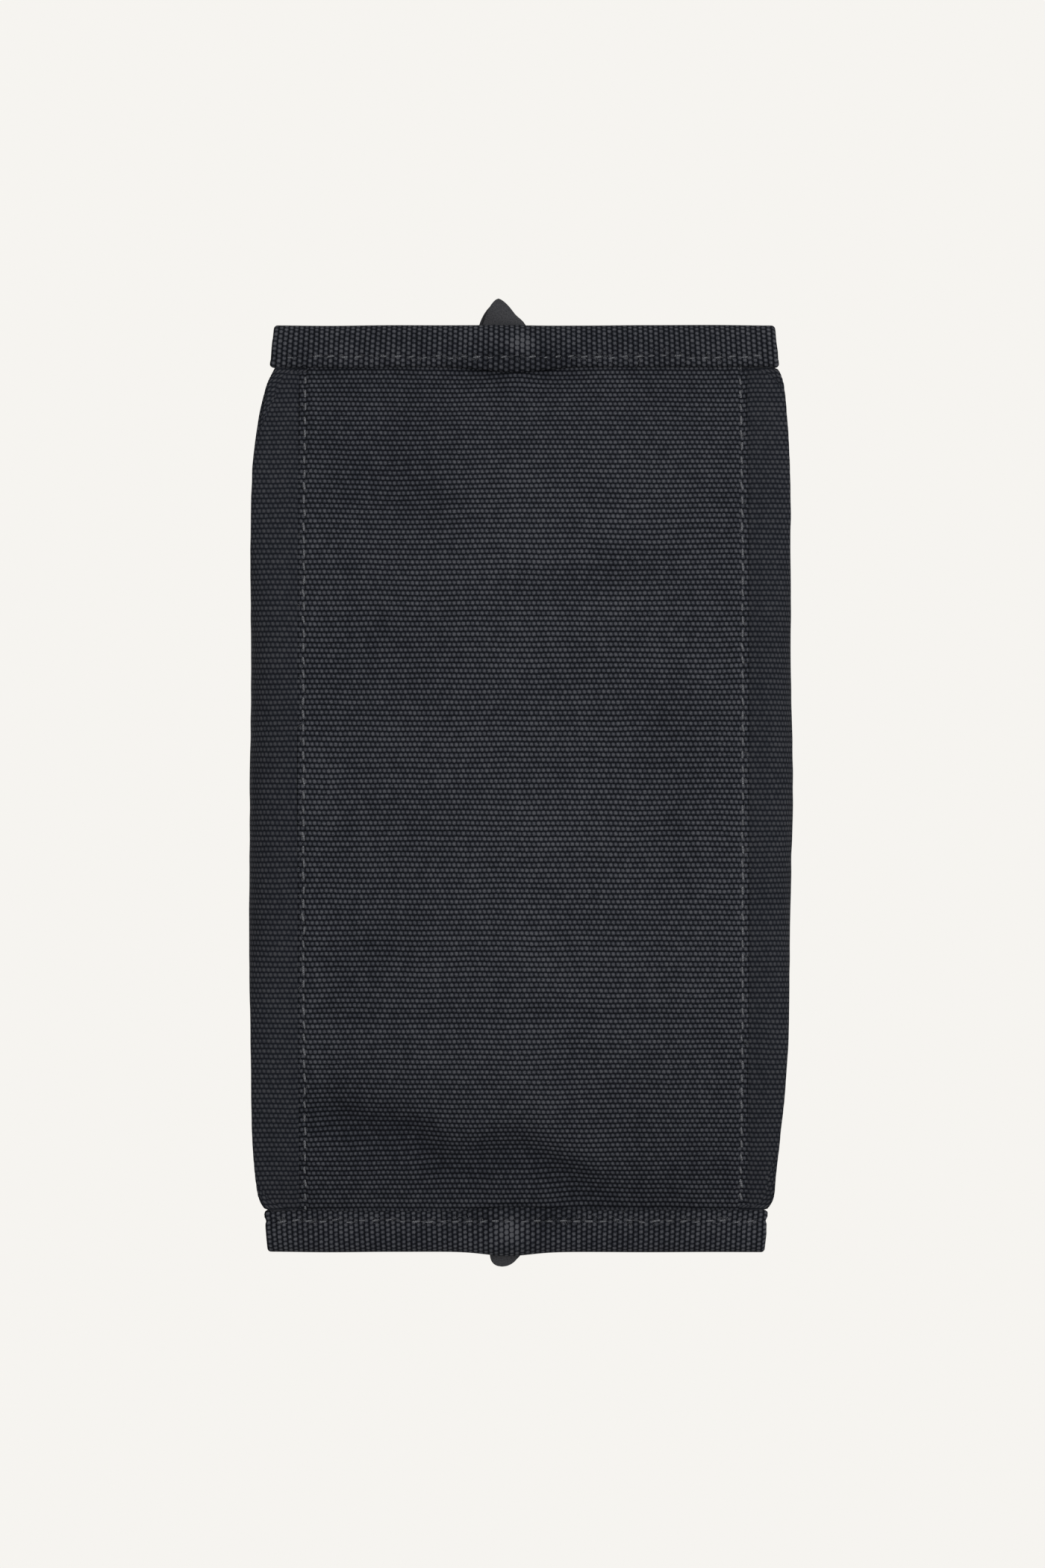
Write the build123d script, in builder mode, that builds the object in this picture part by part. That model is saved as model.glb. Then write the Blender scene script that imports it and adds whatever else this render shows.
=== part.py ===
"""Black heavy-canvas zip bag: a boxy pouch with a full-length zip on top and both ends bound flat.

The bag stands on its bottom panel. X runs along the zip, Y across the bag, and Z is up. The origin is
the middle of the bottom panel's resting face. Left is +Y and the front, where the zip closes, is +X.
"""

import os
from math import asin, cos, degrees, sin

from build123d import *

os.makedirs("parts", exist_ok=True)

# Stuffed body (mm)
HALF_LENGTH = 104.5  # from the middle to where a flat end starts
HALF_WIDTH = 67.1
HEIGHT = 46.0
EDGE_RADIUS = 13.0  # rounding of the long edges
FLAT_HALF_LENGTH = 25.0  # part of the bottom that rests on a table
STRAIGHT_HALF_LENGTH = 80.0  # part of the sides that runs straight

# Flat ends, where all layers are pressed together inside a binding
LIP_LOW = 19.5
LIP_HIGH = 24.5
LIP_LENGTH = 8.1
LIP_HALF_WIDTH = 62.0
BINDING_THICKNESS = 1.0
BINDING_HALF_WIDTH = 63.2
BINDING_FOLD_RADIUS = 2.4
BINDING_FOLD = 2.0  # cloth between the lip's end and the binding's outer edge

# Cloth layers, as depths below the outer face
CANVAS_DEPTH = 1.0
TAPE_DEPTH = 1.6
LINING_TOP = 1.7
LINING_DEPTH = 2.1

# Panels and seams
SEAM_Y = 55.5  # seam between the bottom panel and a side panel
SEAM_GAP = 0.2
TOPSTITCH_Y = 54.0
STITCH_PITCH = 3.33
STITCH_LENGTH = 2.5
THREAD_WIDTH = 0.6
THREAD_DEPTH = 0.35
FURROW_WIDTH = 0.9
FURROW_DEPTH = 0.4
BINDING_STITCH_INSET = 2.5

# Zip and mouth
MOUTH_HALF_LENGTH = 89.0  # the part of the top that opens
PANEL_GAP = 0.4  # clearance round the opening halves of the top
ZIP_SLOT_Y = 7.0  # edge of the canvas beside the zip
ZIP_STITCH_Y = 9.5
TAPE_INNER_Y = 3.5
TAPE_OUTER_Y = 15.0
TOOTH_PITCH = 2.5
TOOTH_LENGTH = 0.95
TOOTH_INNER_Y = 1.1
TOOTH_HEIGHT = 2.4
STOP_HEIGHT = 2.0
STOP_LENGTH = 1.0

# Slider and puller
SLIDER_X = 97.2  # the slider's place when the zip is closed
SLIDER_LENGTH = 12.0
SLIDER_WIDTH = 9.5
SLIDER_CORNER = 2.0
PLATE_EDGE = 0.4
PLATE_INNER = 1.5  # plates' inner faces, from the middle of the teeth
PLATE_OUTER = 2.6
FLANGE_INNER_Y = 3.9
FLANGE_TIP = 0.8
WEDGE_LENGTH = 4.0
WEDGE_WIDTH = 1.6
BRIDGE_LENGTH = 7.0
BRIDGE_WIDTH = 1.6
BRIDGE_TOP = 5.4
BRIDGE_SHOULDER = 1.4
BRIDGE_WINDOW_LENGTH = 4.4
BRIDGE_WINDOW_TOP = 4.4
PULLER_PIVOT = 3.5  # crossbar's height above the middle of the teeth
PULLER_THICKNESS = 1.2
PULLER_WIDTH = 5.6
PULLER_LENGTH = 16.0
PULLER_TAPER = 0.75  # each side draws in by this much towards the end
PULLER_CORNER = 1.8
PULLER_EDGE = 0.3
PULLER_EYE_WIDTH = 2.8
PULLER_EYE_LENGTH = 4.5

# End tabs: little loops of ribbon caught in the bindings at the ends of the zip
TAB_THICKNESS = 2.2
TAB_GAP = 0.3
FRONT_TAB = {"reach": 7.0, "width": 11.9, "middle": -4.3, "tip": -5.6}
TAB_LOW_BULGE = (0.75, 0.7)  # where each curved edge's middle stands, as shares of the way to the tip in X and Y
TAB_HIGH_BULGE = (0.6, 0.55)
REAR_TAB = {"reach": 3.9, "width": 8.0, "middle": -3.3, "tip": -4.4}

# Worked out from the values above
LIP_MIDDLE = (LIP_LOW + LIP_HIGH) / 2
LIP_END = HALF_LENGTH + LIP_LENGTH
BINDING_END = LIP_END + BINDING_FOLD
TOP_RISE = HEIGHT - LIP_HIGH
TOP_RADIUS = (HALF_LENGTH**2 + TOP_RISE**2) / (2 * TOP_RISE)
TOP_CENTRE_Z = HEIGHT - TOP_RADIUS
TEETH_RADIUS = TOP_RADIUS - (CANVAS_DEPTH + TAPE_DEPTH) / 2
SLIDER_ANGLE = asin(SLIDER_X / TEETH_RADIUS)
SLIDER_Z = TOP_CENTRE_Z + TEETH_RADIUS * cos(SLIDER_ANGLE)
TAB_HINGE = BINDING_END + TAB_GAP + TAB_THICKNESS / 2
BEYOND = 150.0  # past the bag on every side

SIDES = {"left": 1, "right": -1}
ENDS = {"front": 1, "rear": -1}


def pouch(depth):
    """The stuffed bag's solid shape, drawn in by depth: its side view, plan and end view together."""
    with BuildPart() as shape:
        with BuildSketch(Plane.XZ):
            with BuildLine():
                rest = Line((0, 0), (FLAT_HALF_LENGTH, 0))
                rise = TangentArc(rest @ 1, (HALF_LENGTH, LIP_LOW), tangent=rest % 1)
                lip = Polyline(rise @ 1, (LIP_END, LIP_LOW), (LIP_END, LIP_HIGH), (HALF_LENGTH, LIP_HIGH))
                TangentArc((0, HEIGHT), lip @ 1, tangent=(1, 0))
                mirror(about=Plane.YZ)
            make_face()
            if depth > 0:
                offset(amount=-depth)
        extrude(amount=BEYOND, both=True)
        with BuildSketch(Plane.XY):
            with BuildLine():
                edge = Line((0, HALF_WIDTH), (STRAIGHT_HALF_LENGTH, HALF_WIDTH))
                turn = TangentArc(edge @ 1, (HALF_LENGTH, LIP_HALF_WIDTH), tangent=edge % 1)
                Polyline(turn @ 1, (LIP_END, LIP_HALF_WIDTH), (LIP_END, 0))
                mirror(about=Plane.YZ)
                mirror(about=Plane.XZ)
            make_face()
            if depth > 0:
                offset(amount=-depth)
        extrude(amount=BEYOND, both=True, mode=Mode.INTERSECT)
        with BuildSketch(Plane.YZ):
            with Locations((0, HEIGHT / 2)):
                RectangleRounded(2 * (HALF_WIDTH - depth), HEIGHT - 2 * depth, EDGE_RADIUS - depth)
        extrude(amount=BEYOND, both=True, mode=Mode.INTERSECT)
    return shape.part


def lay(cloth, region):
    """Inside a part builder: makes the part of one cloth layer, given as its two depths, in a region."""
    outer_depth, inner_depth = cloth
    add(SHAPES[outer_depth])
    add(region, mode=Mode.INTERSECT)
    add(SHAPES[inner_depth], mode=Mode.SUBTRACT)


def block(x, y, z):
    """A region as a box, from three (low, high) pairs. It is made outside any builder."""
    size = Vector(x[1] - x[0], y[1] - y[0], z[1] - z[0])
    middle = Vector(sum(x) / 2, sum(y) / 2, sum(z) / 2)
    return Pos(middle) * Box(size.X, size.Y, size.Z)


def span(sign, near, far):
    """The (low, high) pair from near to far on the side that sign says."""
    return tuple(sorted((sign * near, sign * far)))


def between(start, end, shares):
    """The point that stands the given shares of the way from start to end, one share for X and one for Y."""
    return tuple(a + share * (b - a) for a, b, share in zip(start, end, shares))


def save(piece, name):
    """Labels a finished piece and writes its STEP file."""
    piece.label = name
    export_step(piece, f"parts/{name}.step")


CANVAS = (0, CANVAS_DEPTH)
TAPE = (CANVAS_DEPTH, TAPE_DEPTH)
LINING = (LINING_TOP, LINING_DEPTH)
THREAD = (0, THREAD_DEPTH)
FURROW = (0, FURROW_DEPTH)
SHAPES = {depth: pouch(depth) for depth in {*CANVAS, *TAPE, *LINING, *THREAD, *FURROW}}

WHOLE = (-BEYOND, BEYOND)
BELOW = (-BEYOND, LIP_MIDDLE - PANEL_GAP / 2)
ABOVE = (LIP_MIDDLE + PANEL_GAP / 2, BEYOND)
BODY = (-HALF_LENGTH, HALF_LENGTH)
MOUTH = (-MOUTH_HALF_LENGTH, MOUTH_HALF_LENGTH)
BOTTOM = (SEAM_GAP - SEAM_Y, SEAM_Y - SEAM_GAP)

# Bottom panel: one piece of canvas from end to end, with a furrow under each row of topstitching
bottom_region = block(WHOLE, BOTTOM, BELOW)
bottom_body_region = block(BODY, BOTTOM, BELOW)
with BuildPart() as furrow_region:
    with BuildSketch(Plane.XY):
        with GridLocations(0, 2 * TOPSTITCH_Y, 1, 2):
            Rectangle(2 * HALF_LENGTH - 1, FURROW_WIDTH)
    extrude(amount=LIP_LOW)
with BuildPart() as bottom_furrows:
    lay(FURROW, furrow_region.part)
with BuildPart() as bottom_panel:
    lay(CANVAS, bottom_region)
    add(bottom_furrows.part, mode=Mode.SUBTRACT)
save(bottom_panel.part, "bottom_panel")
with BuildPart() as lining_bottom:
    lay(LINING, bottom_body_region)
save(lining_bottom.part, "lining_bottom")

# Each side panel's lower wall, with the top of both closed ends, where the zip slot stays shut
seam_stitch_count = int(2 * (HALF_LENGTH - STITCH_LENGTH) / STITCH_PITCH)
for side, sign in SIDES.items():
    lower_wall = block(WHOLE, span(sign, SEAM_Y + SEAM_GAP, BEYOND), BELOW)
    end_tops = [
        block(
            span(end, MOUTH_HALF_LENGTH + PANEL_GAP, BEYOND), span(sign, ZIP_SLOT_Y, BEYOND), (BELOW[1], BEYOND)
        )
        for end in ENDS.values()
    ]
    side_region = lower_wall + end_tops
    side_body_region = side_region & block(BODY, WHOLE, WHOLE)
    with BuildPart() as side_panel:
        lay(CANVAS, side_region)
    save(side_panel.part, f"side_panel_{side}")
    with BuildPart() as lining_side:
        lay(LINING, side_body_region)
    save(lining_side.part, f"lining_side_{side}")

    with BuildPart() as stitch_region:
        with BuildSketch(Plane.XY):
            with Locations((0, sign * TOPSTITCH_Y)):
                with GridLocations(STITCH_PITCH, 0, seam_stitch_count, 1):
                    Rectangle(STITCH_LENGTH, THREAD_WIDTH)
        extrude(amount=LIP_LOW)
    with BuildPart() as seam_thread:
        lay(THREAD, stitch_region.part)
    save(seam_thread.part, f"seam_thread_{side}")

# Each half of the top: it swings out about the side's mid-height when the zip is open
tooth_count = int(2 * (MOUTH_HALF_LENGTH - TOOTH_PITCH) / TOOTH_PITCH)
zip_stitch_count = int(2 * (MOUTH_HALF_LENGTH - STITCH_LENGTH) / STITCH_PITCH)
for side, sign in SIDES.items():
    top_region = block(MOUTH, span(sign, ZIP_SLOT_Y, BEYOND), ABOVE)
    tape_region = block(MOUTH, span(sign, TAPE_INNER_Y, TAPE_OUTER_Y), ABOVE)
    furrow_edges = span(sign, ZIP_STITCH_Y - FURROW_WIDTH / 2, ZIP_STITCH_Y + FURROW_WIDTH / 2)
    zip_furrow_region = block(MOUTH, furrow_edges, ABOVE)
    with BuildPart() as zip_furrow:
        lay(FURROW, zip_furrow_region)
    with BuildPart() as top_panel:
        lay(CANVAS, top_region)
        add(zip_furrow.part, mode=Mode.SUBTRACT)
    save(top_panel.part, f"top_panel_{side}")
    with BuildPart() as lining_top:
        lay(LINING, top_region)
    save(lining_top.part, f"lining_top_{side}")
    with BuildPart() as zip_tape:
        lay(TAPE, tape_region)
    save(zip_tape.part, f"zip_tape_{side}")

    # The two rows of teeth are half a pitch apart, so that they mesh
    tooth_width = TAPE_INNER_Y - TOOTH_INNER_Y
    tooth_y = sign * (TOOTH_INNER_Y + tooth_width / 2)
    tooth_places = []
    for index in range(tooth_count):
        tooth_turn = (index - tooth_count / 2 + 0.5 - sign / 4) * TOOTH_PITCH / TEETH_RADIUS
        tooth_x = TEETH_RADIUS * sin(tooth_turn)
        tooth_z = TOP_CENTRE_Z + TEETH_RADIUS * cos(tooth_turn)
        tooth_places.append(Location((tooth_x, tooth_y, tooth_z), (0, degrees(tooth_turn), 0)))
    with BuildPart() as zip_teeth:
        with Locations(*tooth_places):
            Box(TOOTH_LENGTH, tooth_width, TOOTH_HEIGHT)
    save(zip_teeth.part, f"zip_teeth_{side}")

    with BuildPart() as stitch_region:
        with BuildSketch(Plane.XY.offset(LIP_HIGH)):
            with Locations((0, sign * ZIP_STITCH_Y)):
                with GridLocations(STITCH_PITCH, 0, zip_stitch_count, 1):
                    Rectangle(STITCH_LENGTH, THREAD_WIDTH)
        extrude(amount=HEIGHT)
    with BuildPart() as zip_thread:
        lay(THREAD, stitch_region.part)
    save(zip_thread.part, f"zip_thread_{side}")

# The closed ends: binding, its stitches, the end of the zip tape and the stops
binding_middle = (HALF_LENGTH + BINDING_END) / 2
binding_height = LIP_HIGH - LIP_LOW + 2 * BINDING_THICKNESS
binding_stitch_x = HALF_LENGTH + BINDING_STITCH_INSET
binding_stitch_count = int(2 * (LIP_HALF_WIDTH - STITCH_LENGTH) / STITCH_PITCH)
for end, sign in ENDS.items():
    with BuildPart() as binding:
        with BuildSketch(Plane.XZ):
            with Locations((sign * binding_middle, LIP_MIDDLE)):
                Rectangle(BINDING_END - HALF_LENGTH, binding_height)
        extrude(amount=BINDING_HALF_WIDTH, both=True)
        fold = binding.edges().filter_by(Axis.Y).group_by(Axis.X)[-1 if sign > 0 else 0]
        fillet(fold, BINDING_FOLD_RADIUS)
        with BuildSketch(Plane.XZ):
            with Locations((sign * (HALF_LENGTH + LIP_LENGTH / 2), LIP_MIDDLE)):
                Rectangle(LIP_LENGTH, LIP_HIGH - LIP_LOW)
        extrude(amount=LIP_HALF_WIDTH, both=True, mode=Mode.SUBTRACT)
        with BuildSketch(Plane.XZ):
            with Locations((sign * binding_stitch_x, LIP_MIDDLE)):
                with GridLocations(0, binding_height, 1, 2):
                    Rectangle(FURROW_WIDTH, 2 * FURROW_DEPTH)
        extrude(amount=LIP_HALF_WIDTH, both=True, mode=Mode.SUBTRACT)
    save(binding.part, f"binding_{end}")

    with BuildPart() as binding_thread:
        for face in (-1, 1):
            thread_z = LIP_MIDDLE + face * (binding_height - THREAD_DEPTH) / 2
            with Locations((sign * binding_stitch_x, 0, thread_z)):
                with GridLocations(0, STITCH_PITCH, 1, binding_stitch_count):
                    Box(THREAD_WIDTH, STITCH_LENGTH, THREAD_DEPTH)
    save(binding_thread.part, f"binding_thread_{end}")

    closed_stretch = span(sign, MOUTH_HALF_LENGTH + PANEL_GAP, HALF_LENGTH)
    tape_halves = [block(closed_stretch, span(half, TAPE_INNER_Y, TAPE_OUTER_Y), ABOVE) for half in (-1, 1)]
    tape_end_region = tape_halves[0] + tape_halves[1]
    with BuildPart() as zip_tape_end:
        lay(TAPE, tape_end_region)
    save(zip_tape_end.part, f"zip_tape_{end}")

    # The stops sit against the tape's edge, the front pair apart and the rear one in one piece
    stop_angle = sign * asin((HALF_LENGTH - STOP_LENGTH / 2) / TEETH_RADIUS)
    stop_plane = Plane(
        origin=(TEETH_RADIUS * sin(stop_angle), 0, TOP_CENTRE_Z + TEETH_RADIUS * cos(stop_angle)),
        x_dir=(cos(stop_angle), 0, -sin(stop_angle)),
        z_dir=(sin(stop_angle), 0, cos(stop_angle)),
    )
    with BuildPart() as zip_stop:
        with BuildSketch(stop_plane):
            if end == "rear":
                Rectangle(STOP_LENGTH, 2 * TAPE_INNER_Y)
            else:
                with GridLocations(0, TAPE_INNER_Y + TOOTH_INNER_Y, 1, 2):
                    Rectangle(STOP_LENGTH, TAPE_INNER_Y - TOOTH_INNER_Y)
        extrude(amount=STOP_HEIGHT / 2, both=True)
    save(zip_stop.part, f"zip_stop_{end}")

# Slider: two plates round the teeth, joined by a wedge at the nose, with a bridge on top
slider_plane = Plane(
    origin=(SLIDER_X, 0, SLIDER_Z),
    x_dir=(cos(SLIDER_ANGLE), 0, -sin(SLIDER_ANGLE)),
    z_dir=(sin(SLIDER_ANGLE), 0, cos(SLIDER_ANGLE)),
)
with BuildPart() as slider:
    for face in (-1, 1):
        with BuildSketch(slider_plane.offset(face * PLATE_INNER)):
            RectangleRounded(SLIDER_LENGTH, SLIDER_WIDTH, SLIDER_CORNER)
        extrude(amount=face * (PLATE_OUTER - PLATE_INNER))
        with BuildSketch(slider_plane.offset(face * FLANGE_TIP)):
            RectangleRounded(SLIDER_LENGTH, SLIDER_WIDTH, SLIDER_CORNER)
            Rectangle(SLIDER_LENGTH, 2 * FLANGE_INNER_Y, mode=Mode.SUBTRACT)
        extrude(amount=face * (PLATE_OUTER - FLANGE_TIP))
    for end in (0, -1):
        plate_face = slider.faces().sort_by(Axis(slider_plane.origin, slider_plane.z_dir))[end]
        fillet(plate_face.edges(), PLATE_EDGE)
    with BuildSketch(slider_plane):
        with Locations(((SLIDER_LENGTH - WEDGE_LENGTH) / 2, 0)):
            SlotOverall(WEDGE_LENGTH, WEDGE_WIDTH)
    extrude(amount=PLATE_INNER, both=True)
    with BuildSketch(slider_plane.offset(PLATE_OUTER)):
        Rectangle(BRIDGE_LENGTH, BRIDGE_WIDTH)
    extrude(amount=BRIDGE_TOP - PLATE_OUTER)
    for end in (0, -1):
        crest = slider.faces().sort_by(Axis(slider_plane.origin, slider_plane.z_dir))[-1]
        shoulder = crest.edges().sort_by(Axis(slider_plane.origin, slider_plane.x_dir))[end]
        fillet(shoulder, BRIDGE_SHOULDER)
    with BuildSketch(slider_plane.offset(PLATE_OUTER)):
        Rectangle(BRIDGE_WINDOW_LENGTH, BRIDGE_WIDTH)
    extrude(amount=BRIDGE_WINDOW_TOP - PLATE_OUTER, mode=Mode.SUBTRACT)
save(slider.part, "slider")

# Puller: a crossbar under the bridge, two arms round it and a flat plate that lies over the front end
pivot = slider_plane.from_local_coords((0, 0, PULLER_PIVOT))
with BuildPart() as puller:
    with BuildSketch(Plane.XY.offset(pivot.Z)):
        with BuildLine():
            half = PULLER_WIDTH / 2
            Polyline(
                (pivot.X, -half),
                (pivot.X + PULLER_LENGTH, PULLER_TAPER - half),
                (pivot.X + PULLER_LENGTH, half - PULLER_TAPER),
                (pivot.X, half),
                close=True,
            )
        make_face()
        fillet(vertices().group_by(Axis.X)[-1], PULLER_CORNER)
        with Locations((pivot.X + PULLER_EYE_LENGTH / 2, 0)):
            Rectangle(PULLER_EYE_LENGTH, PULLER_EYE_WIDTH, mode=Mode.SUBTRACT)
    extrude(amount=PULLER_THICKNESS / 2, both=True)
    for end in (0, -1):
        fillet(puller.faces().sort_by(Axis.Z)[end].edges(), PULLER_EDGE)
    with BuildSketch(Plane.XZ):
        with Locations((pivot.X, pivot.Z)):
            Circle(PULLER_THICKNESS / 2)
    extrude(amount=PULLER_WIDTH / 2, both=True)
save(puller.part, "puller")

# End tabs: each bends about a round root just outside its binding
for end, tab in (("front", FRONT_TAB), ("rear", REAR_TAB)):
    sign = ENDS[end]
    root_x = sign * TAB_HINGE
    tip_x = sign * (BINDING_END + tab["reach"])
    with BuildPart() as end_tab:
        with BuildSketch(Plane.XY.offset(LIP_MIDDLE)):
            with BuildLine():
                low = (root_x, tab["middle"] - tab["width"] / 2)
                high = (root_x, tab["middle"] + tab["width"] / 2)
                tip = (tip_x, tab["tip"])
                ThreePointArc(low, between(low, tip, TAB_LOW_BULGE), tip)
                ThreePointArc(tip, between(high, tip, TAB_HIGH_BULGE), high)
                Line(high, low)
            make_face()
        extrude(amount=TAB_THICKNESS / 2, both=True)
        with BuildSketch(Plane.XZ.offset(-tab["middle"])):
            with Locations((root_x, LIP_MIDDLE)):
                Circle(TAB_THICKNESS / 2)
        extrude(amount=tab["width"] / 2, both=True)
    save(end_tab.part, f"end_tab_{end}")
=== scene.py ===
"""The looks of a black heavy-canvas zip bag, built round its CAD frame.

The bag stands on its bottom panel, with the zip on top. +X is the front, where the zip closes, and +Y is the
bag's left. The scene's camera looks straight up at the bottom panel. Lengths here are in millimetres, and
put() turns them into Blender's metres.
"""

import math

import bpy
import numpy as np
from mathutils import Matrix, Vector


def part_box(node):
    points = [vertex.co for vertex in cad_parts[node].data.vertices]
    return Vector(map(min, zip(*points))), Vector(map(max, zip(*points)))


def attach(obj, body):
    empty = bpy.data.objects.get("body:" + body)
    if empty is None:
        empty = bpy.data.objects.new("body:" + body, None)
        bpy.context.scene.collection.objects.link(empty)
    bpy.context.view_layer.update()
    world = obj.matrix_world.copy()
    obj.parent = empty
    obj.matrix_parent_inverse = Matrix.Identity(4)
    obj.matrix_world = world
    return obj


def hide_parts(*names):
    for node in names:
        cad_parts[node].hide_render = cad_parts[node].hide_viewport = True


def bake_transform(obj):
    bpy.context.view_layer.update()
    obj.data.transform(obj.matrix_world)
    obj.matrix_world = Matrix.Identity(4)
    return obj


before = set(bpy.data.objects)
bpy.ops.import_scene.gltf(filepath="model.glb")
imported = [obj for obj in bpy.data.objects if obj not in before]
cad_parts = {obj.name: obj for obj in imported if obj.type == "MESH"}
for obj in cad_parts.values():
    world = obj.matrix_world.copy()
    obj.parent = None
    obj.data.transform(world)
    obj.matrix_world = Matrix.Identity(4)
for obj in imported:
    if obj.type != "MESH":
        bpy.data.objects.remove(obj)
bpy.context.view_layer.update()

MM = 0.001


def node_box(name):
    """A CAD node's lowest and highest corner in millimetres."""
    low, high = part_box(name)
    return np.array(low) / MM, np.array(high) / MM


# Sizes read from the frame, and those chosen to go with them
BINDING_LOW, BINDING_HIGH = node_box("binding_front")
HALF_LENGTH = float(BINDING_LOW[0])  # where a binding starts
BINDING_DEPTH = float(BINDING_HIGH[0] - BINDING_LOW[0])
HALF_WIDTH = float(node_box("side_panel_left")[1][1])
HEIGHT = float(node_box("top_panel_left")[1][2])
MOUTH = float(node_box("top_panel_left")[1][0])  # half the length that opens
SLOT = float(node_box("top_panel_left")[0][1])  # the canvas's edge beside the zip
SEAM = float(node_box("bottom_panel")[1][1])  # where the bottom panel meets a side panel
LIP_MIDDLE = float((BINDING_LOW[2] + BINDING_HIGH[2]) / 2)
LIP_LOW, LIP_HIGH = LIP_MIDDLE - 2.5, LIP_MIDDLE + 2.5
FLAT_HALF_LENGTH = 25.0
EDGE_RADIUS = 16.0
CORNER_LENGTH = 4.6  # how far from a binding the sides start to turn in to it
STITCH_LINE = float(node_box("seam_thread_left")[1][1]) - 0.3
ZIP_STITCH_LINE = 9.5
BINDING_STITCH_LINE = 2.5  # from a binding's inner edge
STITCH_PITCH = 3.31
LONG_STITCH = (2.4, 0.58)  # length and width of a visible thread
SHORT_STITCH = (2.15, 0.46)  # the same on the bindings
OFF_CENTRE = 0.85  # how far the seams lie off centre, towards the left
CANVAS = 0.9  # cloth thickness
LINING_THICKNESS = 0.3
LINING_GAP = 0.5
LINED = 84.0  # half the length over which the lining follows the canvas
BINDING_HALF = 3.45  # half a binding's thickness
RIBBON_THICKNESS = 0.5
TAPE_THICKNESS = 0.6
TAPE_DROP = 1.2  # how far the tape lies under the top's curve
TAPE_EDGES = (2.7, 1.0)  # the tape's inner edge from the middle, at the mouth and at its closed ends
TOOTH_PITCH = 2.5
TOOTH_DROP = 1.3

TOP_RISE = HEIGHT - LIP_HIGH
TOP_RADIUS = (HALF_LENGTH**2 + TOP_RISE**2) / (2 * TOP_RISE)
TOP_CENTRE = HEIGHT - TOP_RADIUS
BELLY_RUN = HALF_LENGTH - FLAT_HALF_LENGTH
BELLY_RADIUS = (BELLY_RUN**2 + LIP_LOW**2) / (2 * LIP_LOW)

DARK_TINT = (0.86, 1.0, 1.45)  # the blue-black of the dye, on the darkest levels, which are the painted shade of the gaps, as a share of a grey
LIGHT_TINT = (0.96, 0.99, 1.12)  # and on the worn tops

# The weave: one light warp thread and one filling row, in millimetres of cloth
WARP = 0.5815
ROW = 1.287
LEAN = -0.10  # how far a raised thread leans across its row, as a share of the pitch of two threads


# ---------------------------------------- shape helpers


def smooth(low, high, value):
    """0 below low, 1 above high, and a smooth step between."""
    t = np.clip((value - low) / (high - low), 0, 1)
    return t * t * (3 - 2 * t)


def bump(value, middle, width):
    """A bell of height 1 and the given width at middle."""
    return np.exp(-(((value - middle) / width) ** 2))


def ripple(u, v, scale_u, scale_v, seed):
    """Smooth seeded noise between about -1 and 1 over the two lengths u and v."""
    lattice = np.random.default_rng(seed).uniform(-1, 1, (64, 64))
    gu, gv = np.asarray(u) / scale_u + 16, np.asarray(v) / scale_v + 16
    iu, iv = np.floor(gu).astype(int), np.floor(gv).astype(int)
    fu, fv = gu - iu, gv - iv
    fu, fv = fu * fu * (3 - 2 * fu), fv * fv * (3 - 2 * fv)

    def at(du, dv):
        return lattice[(iu + du) % 64, (iv + dv) % 64]

    near = at(0, 0) * (1 - fu) + at(1, 0) * fu
    far = at(0, 1) * (1 - fu) + at(1, 1) * fu
    return near * (1 - fv) + far * fv


def belly(x):
    """Height of the bottom panel's middle at x."""
    run = np.clip(abs(x) - FLAT_HALF_LENGTH, 0, BELLY_RUN)
    return BELLY_RADIUS - math.sqrt(BELLY_RADIUS**2 - run**2)


def crown(x):
    """Height of the top's middle at x."""
    return TOP_CENTRE + math.sqrt(TOP_RADIUS**2 - min(abs(x), HALF_LENGTH) ** 2)


# How the four corners narrow towards the bindings: where the narrowing starts, how far it goes and how
# sharply. The keys are the signs of x and y.
CORNERS = {
    (1, 1): (60.0, 2.2, 2.2),
    (1, -1): (58.0, 5.4, 4.0),
    (-1, 1): (20.0, 4.4, 2.2),
    (-1, -1): (76.0, 2.0, 2.0),
}
# The two bindings: shift of the middle along Y, half the width at the inner and outer edges, how far the
# zip's end bulges out, and where its lump is painted lighter, partly worn and partly a painted highlight
# (from the inner edge, along Y, and size)
BINDINGS = {
    "front": {
        "sign": 1, "shift": 1.2, "inner_half": 63.1, "outer_half": 62.2,
        "bulge": 0.2, "rubbed_and_painted_light": (5.8, 0.4, 2.6),
    },
    "rear": {
        "sign": -1, "shift": -0.9, "inner_half": 62.4, "outer_half": 61.7,
        "bulge": 1.0, "rubbed_and_painted_light": (4.4, -2.4, 3.2),
    },
}


def half_width(x, sign):
    """Half the bag's width at x, on the side that sign says, drawn in where the lip enters its binding."""
    end = 1 if x > 0 else -1
    start, drop, power = CORNERS[end, sign]
    narrowing = max((abs(x) - start) / (HALF_LENGTH - start), 0.0)
    wide = HALF_WIDTH - (0.7 if sign < 0 else 0.0) - drop * min(narrowing, 1.0) ** power
    binding = BINDINGS["front" if end > 0 else "rear"]
    lip = binding["outer_half"] - 0.3 + sign * binding["shift"]
    into = min(max((abs(x) - HALF_LENGTH + CORNER_LENGTH) / CORNER_LENGTH, 0.0), 1.0)
    return wide - max(wide - lip, 0.0) * (1 - math.sqrt(1 - into**2))


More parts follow.
